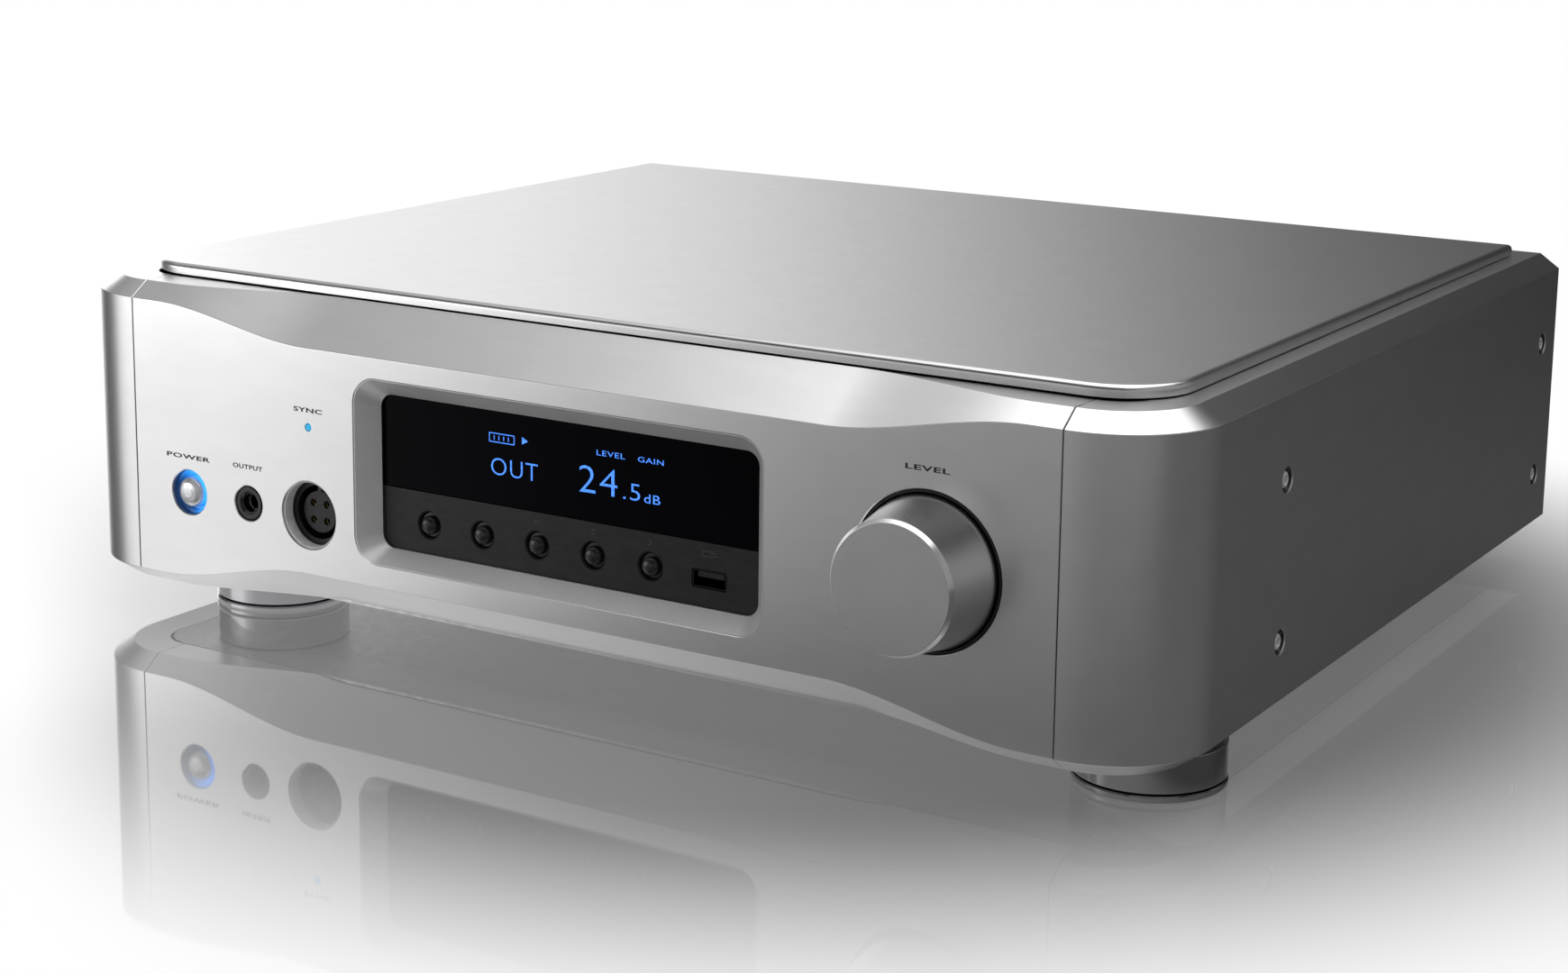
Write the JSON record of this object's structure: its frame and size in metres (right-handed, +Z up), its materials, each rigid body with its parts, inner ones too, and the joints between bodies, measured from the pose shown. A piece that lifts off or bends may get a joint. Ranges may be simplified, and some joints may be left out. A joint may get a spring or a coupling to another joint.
{
  "type": "headphone amplifier",
  "caption": "Full-width desktop headphone amplifier in satin aluminium with a curved front panel, recessed display, menu keys, power key and a large volume knob.",
  "frame": {"origin": "middle of the case in plan, on the surface that the feet stand on", "axes": "+X to the right seen from the front, -Y out of the front panel, +Z up"},
  "size_m": [0.445, 0.405, 0.131],
  "materials": {
    "satin_aluminium": "fine bead-blasted, anodised satin silver",
    "turned_aluminium": "finely turned, anodised silver",
    "inner_steel": "plain plated sheet and fittings",
    "chrome": "polished",
    "black_glass": "smoked, glossy, with a lit readout behind it",
    "dark_strip": "satin dark grey",
    "black_plastic": "moulded black",
    "blue_light_guide": "lit blue",
    "cyan_lamp": "lit cyan",
    "gold_plate": "gold-plated",
    "circuit_board": "solder-resist green",
    "transformer_wrap": "film-wrapped"
  },
  "bodies": {
    "chassis": {"front_panel": "satin_aluminium", "left_side_panel": "satin_aluminium", "right_side_panel": "satin_aluminium", "top_plate": "satin_aluminium", "rear_panel": "satin_aluminium", "rear_top_rail": "satin_aluminium", "bottom_plate": "inner_steel", "left_inner_wall": "inner_steel", "right_inner_wall": "inner_steel", "usb_a_port": "inner_steel", "volume_encoder": "inner_steel", "network_port": "inner_steel", "usb_b_port": "inner_steel", "clock_input": "inner_steel", "transformer_clamp": "inner_steel", "front_left_foot": "chrome", "front_left_foot_base": "chrome", "front_right_foot": "chrome", "front_right_foot_base": "chrome", "rear_left_foot": "chrome", "rear_left_foot_base": "chrome", "rear_right_foot": "chrome", "rear_right_foot_base": "chrome", "side_screw_left_1": "chrome", "side_screw_left_2": "chrome", "side_screw_left_3": "chrome", "side_screw_left_4": "chrome", "side_screw_right_1": "chrome", "side_screw_right_2": "chrome", "side_screw_right_3": "chrome", "side_screw_right_4": "chrome", "display_window": "black_glass", "button_panel": "dark_strip", "power_switch": "black_plastic", "headphone_jack": "black_plastic", "balanced_jack": "black_plastic", "knob_seat_ring": "black_plastic", "mains_inlet": "black_plastic", "optical_input": "black_plastic", "xlr_output_left": "black_plastic", "xlr_output_right": "black_plastic", "power_light_ring": "blue_light_guide", "clock_lamp": "cyan_lamp", "rca_output_left": "gold_plate", "rca_output_right": "gold_plate", "coaxial_input": "gold_plate", "display_module": "circuit_board", "control_board": "circuit_board", "power_board": "circuit_board", "digital_board": "circuit_board", "headphone_amp_board": "circuit_board", "mains_transformer": "transformer_wrap"},
    "volume_knob": {"volume_knob": "turned_aluminium", "encoder_shaft": "inner_steel"},
    "power_button": {"power_button": "satin_aluminium"},
    "menu_button_1": {"menu_button_1": "black_plastic"},
    "menu_button_2": {"menu_button_2": "black_plastic"},
    "menu_button_3": {"menu_button_3": "black_plastic"},
    "menu_button_4": {"menu_button_4": "black_plastic"},
    "menu_button_5": {"menu_button_5": "black_plastic"}
  },
  "joints": [
    {"name": "volume_spin", "type": "hinge", "parent": "chassis", "child": "volume_knob", "pos_m": [0.142, -0.18, 0.0708], "axis": [0, 1, 0], "continuous": true},
    {"name": "power_press", "type": "slide", "parent": "chassis", "child": "power_button", "axis": [0, 1, 0], "range_m": [0, 0.0015], "stiffness_N_per_m": 600, "springref_m": -0.002},
    {"name": "menu_1_press", "type": "slide", "parent": "chassis", "child": "menu_button_1", "axis": [0, 1, 0], "range_m": [0, 0.001], "stiffness_N_per_m": 300, "springref_m": -0.0015},
    {"name": "menu_2_press", "type": "slide", "parent": "chassis", "child": "menu_button_2", "axis": [0, 1, 0], "range_m": [0, 0.001], "stiffness_N_per_m": 300, "springref_m": -0.0015},
    {"name": "menu_3_press", "type": "slide", "parent": "chassis", "child": "menu_button_3", "axis": [0, 1, 0], "range_m": [0, 0.001], "stiffness_N_per_m": 300, "springref_m": -0.0015},
    {"name": "menu_4_press", "type": "slide", "parent": "chassis", "child": "menu_button_4", "axis": [0, 1, 0], "range_m": [0, 0.001], "stiffness_N_per_m": 300, "springref_m": -0.0015},
    {"name": "menu_5_press", "type": "slide", "parent": "chassis", "child": "menu_button_5", "axis": [0, 1, 0], "range_m": [0, 0.001], "stiffness_N_per_m": 300, "springref_m": -0.0015}
  ]
}
